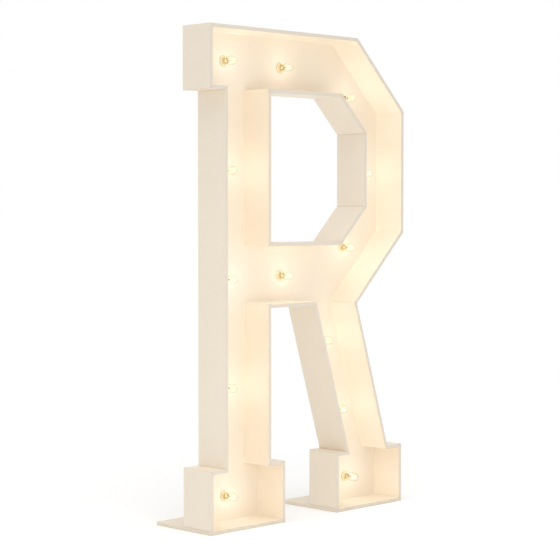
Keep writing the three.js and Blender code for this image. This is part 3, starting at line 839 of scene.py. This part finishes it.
def cordShape(lay):
    # Laid out flat, with the depth upwards, so that the lead keeps its width level with the panel
    section = polyLine("cord_section", [(x * mm, y * mm, 0) for x, y in cordSection()], closed=True)
    line = polyLine("cord_line", [lay @ place for place in cordRoute()])
    line.data.twist_mode = "Z_UP"
    line.data.bevel_mode = "OBJECT"
    line.data.bevel_object = section
    line.data.use_fill_caps = True
    depsgraph = bpy.context.evaluated_depsgraph_get()
    swept = bpy.data.meshes.new_from_object(line.evaluated_get(depsgraph))
    shape = bmesh.new()
    shape.from_mesh(swept)
    bpy.data.meshes.remove(swept)
    bpy.data.objects.remove(line)
    bpy.data.objects.remove(section)
    return tidied(shape)


upright = Matrix.Rotation(math.radians(90), 4, "X")
addPiece(
    cordShape(upright.inverted()), "flat_lamp_cord", vinylFinish, "letter", "cord_plastic", ["lamp_cord"],
    upright)

# Cord clips: moulded saddles with a hardened pin, between the holders
clipSizes = {
    "width": 4.5, "wall": 1.2, "play": 0.3, "tunnelCorner": 1.2, "ease": (0.45, 3),
    "boss": 3.6, "bossLap": 0.4, "bossShare": 0.8,
    "pinRadius": 0.75, "pinLength": 7, "pinTip": 1.2, "pinInset": 0.2, "pinSteps": 20,
    "headRadius": 1.7, "headCrown": 1.02, "headRise": (0.7, 0.6, 0.25),
}
clipHalf = cordSizes["width"] / 2 + clipSizes["play"]
clipTop = cordSizes["thickness"] + fitGap + clipSizes["play"]
clipOuter = clipHalf + clipSizes["wall"]


def clipShape():
    # Local frame: x across the cord, y off the panel, z along the cord
    s = clipSizes
    saddle = slab(2 * clipOuter, s["width"], clipTop + s["wall"])
    bossX = clipOuter + s["boss"] / 2 - s["bossLap"]
    boss = slab(s["boss"], s["width"], clipTop * s["bossShare"], at=(bossX, 0, 0))
    tunnel = slab(
        2 * clipHalf, s["width"] + 2 * overrun, clipTop + overrun, s["tunnelCorner"],
        at=(0, -overrun, 0))
    return softened(carved(carved(saddle, [boss], "UNION"), [tunnel]), s["ease"])


def pinShape():
    s = clipSizes
    top = clipTop * s["bossShare"]
    middle, crown, rim = [top + rise for rise in s["headRise"]]
    pin = spun([
        (0, middle), (s["headCrown"], crown), (s["headRadius"], rim), (s["headRadius"], top),
        (s["pinRadius"], top), (s["pinRadius"], -s["pinLength"]),
        (0, -s["pinLength"] - s["pinTip"])], s["pinSteps"])
    across = clipOuter + s["boss"] / 2 - s["pinInset"]
    bmesh.ops.translate(pin, vec=(across * mm, 0, 0), verts=pin.verts)
    return pin


clipBody = clipShape()
clipPin = pinShape()
for index in range(len(cordOrder) - 1):
    here, after = stops[index:index + 2]
    place = alongCord((here + after) / 2, panelBack, after - here)
    shared = {"body": "letter", "place": place, "keep": True}
    addPiece(clipBody, f"cord_clip_{index + 1}", vinylFinish, slot="cord_plastic", **shared)
    addPiece(clipPin, f"clip_pin_{index + 1}", steelFinish, **shared)
print("cord and clips made")


# Control box: local frame at the middle of the box, depths in mm from the back of the panel

boxSizes = {
    "width": 62, "height": 100, "wall": 2.2, "corner": 5, "cornerSteps": 8, "innerSteps": 6,
    "rim": 30.3, "lidFront": 30.6, "lidBack": 33.1, "ease": (0.5, 3), "lidEase": (0.6, 3),
    "entryReach": 8, "entryCorner": 1.2, "cutAhead": 3, "cutDepth": 10,
}
boxPlace = Matrix.Translation(atDepth((boxLow + boxHigh) / 2, panelBack))

switchSizes = {
    "z": 24, "bodyWidth": 15, "bodyHeight": 21.3, "bodyDepth": 14,
    "lap": 1.5, "flange": 2.0, "flangeCorner": 1.5, "flangeSteps": 5,
    "recessWidth": 11, "recessHeight": 17.3, "recessFloor": -6.3, "recessCorner": 0.5, "recessSteps": 2,
    "cutDepth": 20, "ease": (0.35, 2), "pivotAt": 0.8,
}
inletSizes = {
    "z": -20, "bodyWidth": 20, "bodyHeight": 12.4, "bodyDepth": 16,
    "lap": 3.4, "flange": 2.0, "flangeCorner": 3, "flangeSteps": 6,
    "recessWidth": 16, "recessHeight": 8.4, "recessFloor": -8.0, "recessCorner": 4.19, "recessSteps": 10,
    "cutDepth": 20, "ease": (0.35, 2), "pinRadius": 1.2, "pinSpacing": 8.6, "pinLength": 8.5,
    "pinRoot": 0.5, "pinFlat": 0.7, "pinTip": (0.4, 1.2), "tipSteps": 6, "pinSteps": 24,
}


def boxShape():
    s = boxSizes
    width, height, wall, corner = s["width"], s["height"], s["wall"], s["corner"]
    outside = slab(width, height, s["rim"] - fitGap, corner, s["cornerSteps"], (0, fitGap, 0))
    hollow = slab(
        width - 2 * wall, height - 2 * wall, s["rim"], corner - wall, s["innerSteps"],
        (0, fitGap + wall, 0))
    slotWidth, slotHeight = [cordSizes[side] + 2 * fitGap for side in ("width", "thickness")]
    slotFront = (slotY - panelBack) / mm - slotHeight / 2
    slot = slab(
        s["entryReach"], slotWidth, slotHeight, s["entryCorner"],
        at=(-width / 2, slotFront, entrySizes["height"] - height / 2))
    return softened(carved(outside, [hollow, slot]), s["ease"])


def lidShape():
    s = boxSizes
    thickness = s["lidBack"] - s["lidFront"]
    lid = slab(s["width"], s["height"], thickness, s["corner"], s["cornerSteps"], (0, s["lidFront"], 0))
    openings = [
        slab(fitted["bodyWidth"] + 2 * fitGap, fitted["bodyHeight"] + 2 * fitGap, s["cutDepth"],
             at=(0, s["lidFront"] - s["cutAhead"], fitted["z"]))
        for fitted in (switchSizes, inletSizes)]
    return softened(carved(lid, openings), s["lidEase"])


addPiece(boxShape(), "box_housing", boxFinish, "letter", "box_plastic", ["control_box"], boxPlace)
addPiece(lidShape(), "box_lid", boxFinish, "letter", "box_plastic", ["control_box_lid"], boxPlace)

screwSizes = {
    "inset": 6.2, "headRadius": 2.9, "headHeight": 1.7, "crown": 1.6, "shoulder": 1.1, "edge": 0.35,
    "domeSteps": 6, "steps": 32, "shank": 1.4, "shankLength": 10, "tip": 1, "slotWidth": 0.9,
    "slotLength": 3.4, "slotDepth": 1.0, "cutDepth": 3, "ease": (0.08, 1),
}


def screwShape():
    s = screwSizes
    top, radius, shank, length = s["headHeight"], s["headRadius"], s["shank"], s["shankLength"]
    dome = curvePoints(
        (0, top), (s["crown"], top), (radius, s["shoulder"]), (radius, s["edge"]), s["domeSteps"])
    blank = spun(
        dome + [(radius, 0), (shank, 0), (shank, -length), (0, -length - s["tip"])], s["steps"])
    cross = [
        slab(width, height, s["cutDepth"], at=(0, top - s["slotDepth"], 0))
        for width, height in ((s["slotWidth"], s["slotLength"]), (s["slotLength"], s["slotWidth"]))]
    return softened(carved(blank, cross), s["ease"])


lidScrew = screwShape()
for sideX, across in ((-1, "left"), (1, "right")):
    for sideZ, up in ((-1, "lower"), (1, "upper")):
        spot = Vector((
            sideX * (boxSizes["width"] / 2 - screwSizes["inset"]), boxSizes["lidBack"],
            sideZ * (boxSizes["height"] / 2 - screwSizes["inset"]))) * mm
        # No two screws stop at the same turn
        turned = Matrix.Rotation(math.radians(20 + 35 * sideX + 15 * sideZ), 4, "Y")
        place = boxPlace @ Matrix.Translation(spot) @ turned
        addPiece(lidScrew, f"lid_screw_{up}_{across}", steelFinish, "letter", place=place, keep=True)


# Rocker switch and inlet: depths in mm from the seat of their flanges on the lid

seat = boxSizes["lidBack"] + fitGap


def onLid(z, out=0):
    return boxPlace @ Matrix.Translation(Vector((0, seat + out, z)) * mm)


def flanged(s):
    # A body through the lid, with a flange round it and a recess in its face
    width, height, lap = s["bodyWidth"], s["bodyHeight"], s["lap"]
    flange = slab(
        width + 2 * lap, height + 2 * lap, s["flange"], s["flangeCorner"], s["flangeSteps"])
    body = slab(width, height, s["bodyDepth"] + overrun, at=(0, -s["bodyDepth"], 0))
    recess = slab(
        s["recessWidth"], s["recessHeight"], s["cutDepth"], s["recessCorner"], s["recessSteps"],
        (0, s["recessFloor"], 0))
    return softened(carved(carved(flange, [body], "UNION"), [recess]), s["ease"])


rockerSizes = {
    "width": 10.4, "half": 7.8, "rise": 3.0, "dip": 0.9, "root": 2.4, "rootHalf": 5.6, "keel": 3.8,
    "halfSteps": 6, "pinReach": 1.2, "pinRadius": 1.0, "pinSteps": 20, "ease": (0.5, 3),
    "tiltDegrees": -12, "markPlace": 4.5, "markRaise": 0.06, "markDepth": 0.3, "barLength": 3.4,
    "lineWidth": 0.55, "ringRadius": 1.6, "ringSteps": 40,
}


def rockerFace(z):
    s = rockerSizes
    return s["rise"] - s["dip"] * (1 - (z / s["half"]) ** 2)


def rockerShape():
    s = rockerSizes
    rows = [s["half"] * (step / s["halfSteps"] - 1) for step in range(2 * s["halfSteps"] + 1)]
    outline = [(rockerFace(z), z) for z in rows]
    outline += [(-s["root"], s["rootHalf"]), (-s["keel"], 0), (-s["root"], -s["rootHalf"])]
    half = s["width"] / 2
    cap = extruded([(-half * mm, y * mm, z * mm) for y, z in outline], (s["width"] * mm, 0, 0))
    end = half + s["pinReach"]
    pin = rod((-end, 0, 0), (end, 0, 0), s["pinRadius"], s["pinSteps"])
    return softened(carved(cap, [pin], "UNION"), s["ease"])


def markPlace(z):
    # A mark lies on the dished face and leans with it
    s = rockerSizes
    lean = math.atan(2 * s["dip"] * z / s["half"] ** 2)
    spot = Vector((0, rockerFace(z) + s["markRaise"], z)) * mm
    return Matrix.Translation(spot) @ Matrix.Rotation(-lean, 4, "X")


def ringShape():
    s = rockerSizes
    inner, outer = s["ringRadius"] - s["lineWidth"] / 2, s["ringRadius"] + s["lineWidth"] / 2
    under = -s["markDepth"]
    return spun([(inner, under), (outer, under), (outer, 0), (inner, 0), (inner, under)], s["ringSteps"])


def barShape():
    s = rockerSizes
    return slab(s["lineWidth"], s["barLength"], s["markDepth"], at=(0, -s["markDepth"], 0))


tilted = Matrix.Rotation(math.radians(rockerSizes["tiltDegrees"]), 4, "X")
rockerPlace = onLid(switchSizes["z"], switchSizes["pivotAt"]) @ tilted
inletPlace = onLid(inletSizes["z"])

addPiece(
    flanged(switchSizes), "switch_bezel", nylonFinish, "letter", "black_plastic", ["switch_body"],
    onLid(switchSizes["z"]))
addPiece(
    rockerShape(), "rocker_cap", nylonFinish, "rocker", "black_plastic", ["switch_rocker"], rockerPlace)
for name, mark, side in (("mark_on", barShape(), -1), ("mark_off", ringShape(), 1)):
    place = rockerPlace @ markPlace(side * rockerSizes["markPlace"])
    addPiece(mark, name, markFinish, "rocker", place=place)


def inletPin(side):
    s = inletSizes
    radius, (front, back) = s["pinRadius"], s["pinTip"]
    tip, root = s["recessFloor"] + s["pinLength"], s["recessFloor"] - s["pinRoot"]
    nose = curvePoints(
        (0, tip), (s["pinFlat"], tip), (radius, tip - front), (radius, tip - back), s["tipSteps"])
    pin = spun(nose + [(radius, root), (0, root)], s["pinSteps"])
    bmesh.ops.translate(pin, vec=(side * s["pinSpacing"] * mm / 2, 0, 0), verts=pin.verts)
    return pin


addPiece(
    flanged(inletSizes), "inlet_body", nylonFinish, "letter", "black_plastic", ["power_inlet"],
    inletPlace)
for side, name in ((-1, "left"), (1, "right")):
    addPiece(inletPin(side), "inlet_pin_" + name, steelFinish, "letter", place=inletPlace)
print("control box, switch and inlet made")


# Studio: pale floor, white surround and soft light; the bulbs add their own glow

studio = {
    "skyColour": "#FFFFFF", "skyStrength": 0.7,
    "floorColour": "#F5F5F5", "floorSize": 60,
    "nearLift": 0.13, "farLift": 0.365, "liftReach": (1, 8),     # evens the floor as the light thins out
    "topPower": 150, "topSize": (6.2, 6.2), "topPlace": (-1.0, -1.0, 6.0), "topAim": (0, 0, 0.6),
    "lowPower": 5.6, "lowSize": (1.1, 0.65), "lowPlace": (-1.0, -1.6, 0.35), "lowAim": (0, 0, 0.35),
}
bulbGlow = {"colour": "#F8F8FF", "power": 1.06, "radius": 5, "depth": 13}


def whiteToTheEye(tree):
    path = addNode(tree, "ShaderNodeLightPath")
    seen = addNode(tree, "ShaderNodeMath", {"operation": "MAXIMUM"}, {
        0: path.outputs["Is Camera Ray"], 1: path.outputs["Is Glossy Ray"]})
    return addNode(tree, "ShaderNodeMath", {"operation": "MAXIMUM"}, {
        0: seen.outputs[0], 1: path.outputs["Is Transmission Ray"]})


def makeFloor():
    shape = bmesh.new()
    bmesh.ops.create_grid(shape, x_segments=1, y_segments=1, size=studio["floorSize"] / 2)
    mesh = bpy.data.meshes.new("studio_floor")
    shape.to_mesh(mesh)
    shape.free()
    floor = placed("studio_floor", mesh)
    material, tree, place = startMaterial("pale_studio_floor")
    paint = addNode(tree, "ShaderNodeBsdfDiffuse", links={"Color": linear(studio["floorColour"])})
    away = addNode(tree, "ShaderNodeVectorMath", {"operation": "LENGTH"}, {0: place})
    share = addNode(tree, "ShaderNodeMapRange", links={
        "Value": away.outputs["Value"], "From Min": studio["liftReach"][0],
        "From Max": studio["liftReach"][1], "To Min": studio["nearLift"], "To Max": studio["farLift"]})
    lift = addNode(tree, "ShaderNodeMath", {"operation": "MULTIPLY"}, {
        0: whiteToTheEye(tree).outputs[0], 1: share.outputs[0]})
    glow = addNode(tree, "ShaderNodeEmission", links={"Strength": lift.outputs[0]})
    closeMaterial(tree, addNode(tree, "ShaderNodeAddShader", links={
        0: paint.outputs[0], 1: glow.outputs[0]}))
    mesh.materials.append(material)


def makeSky():
    world = bpy.data.worlds.new("studio_surround")
    bpy.context.scene.world = world
    world.use_nodes = True
    tree = world.node_tree
    tree.nodes.clear()
    light = addNode(tree, "ShaderNodeBackground", links={
        "Color": linear(studio["skyColour"]), "Strength": studio["skyStrength"]})
    white = addNode(tree, "ShaderNodeBackground", links={"Color": (1, 1, 1, 1), "Strength": 1.0})
    mix = addNode(tree, "ShaderNodeMixShader", links={
        0: whiteToTheEye(tree).outputs[0], 1: light.outputs[0], 2: white.outputs[0]})
    addNode(tree, "ShaderNodeOutputWorld", links={"Surface": mix.outputs[0]})


def softbox(side):
    place, aim = [Vector(studio[side + word]) for word in ("Place", "Aim")]
    data = bpy.data.lights.new(side + "_softbox", "AREA")
    data.energy = studio[side + "Power"]
    data.shape = "RECTANGLE"
    data.size, data.size_y = studio[side + "Size"]
    lamp = placed(data.name, data)
    lamp.location = place
    lamp.rotation_euler = (aim - place).to_track_quat("-Z", "Y").to_euler()
    lamp.visible_camera = False


def lightBulbs():
    for name in lampNames:
        data = bpy.data.lights.new("glow_" + name, "POINT")
        data.energy = bulbGlow["power"]
        data.color = linear(bulbGlow["colour"])[:3]
        data.shadow_soft_size = bulbGlow["radius"] * mm
        # Light that falls off slowly stands in for the many bounces between the pale boards
        data.use_nodes = True
        tree = data.node_tree
        tree.nodes.clear()
        slow = addNode(tree, "ShaderNodeLightFalloff", links={"Strength": 1.0})
        rays = addNode(tree, "ShaderNodeEmission", links={"Strength": slow.outputs["Linear"]})
        addNode(tree, "ShaderNodeOutputLight", links={"Surface": rays.outputs[0]})
        glow = placed(data.name, data)
        glow.location = lampCentre(name) + Vector((0, bulbGlow["depth"] * mm, 0))
        glow.visible_camera = False
        glow.visible_glossy = False
        glow.visible_transmission = False


makeFloor()
makeSky()
softbox("top")
softbox("low")
lightBulbs()
print("studio lit")
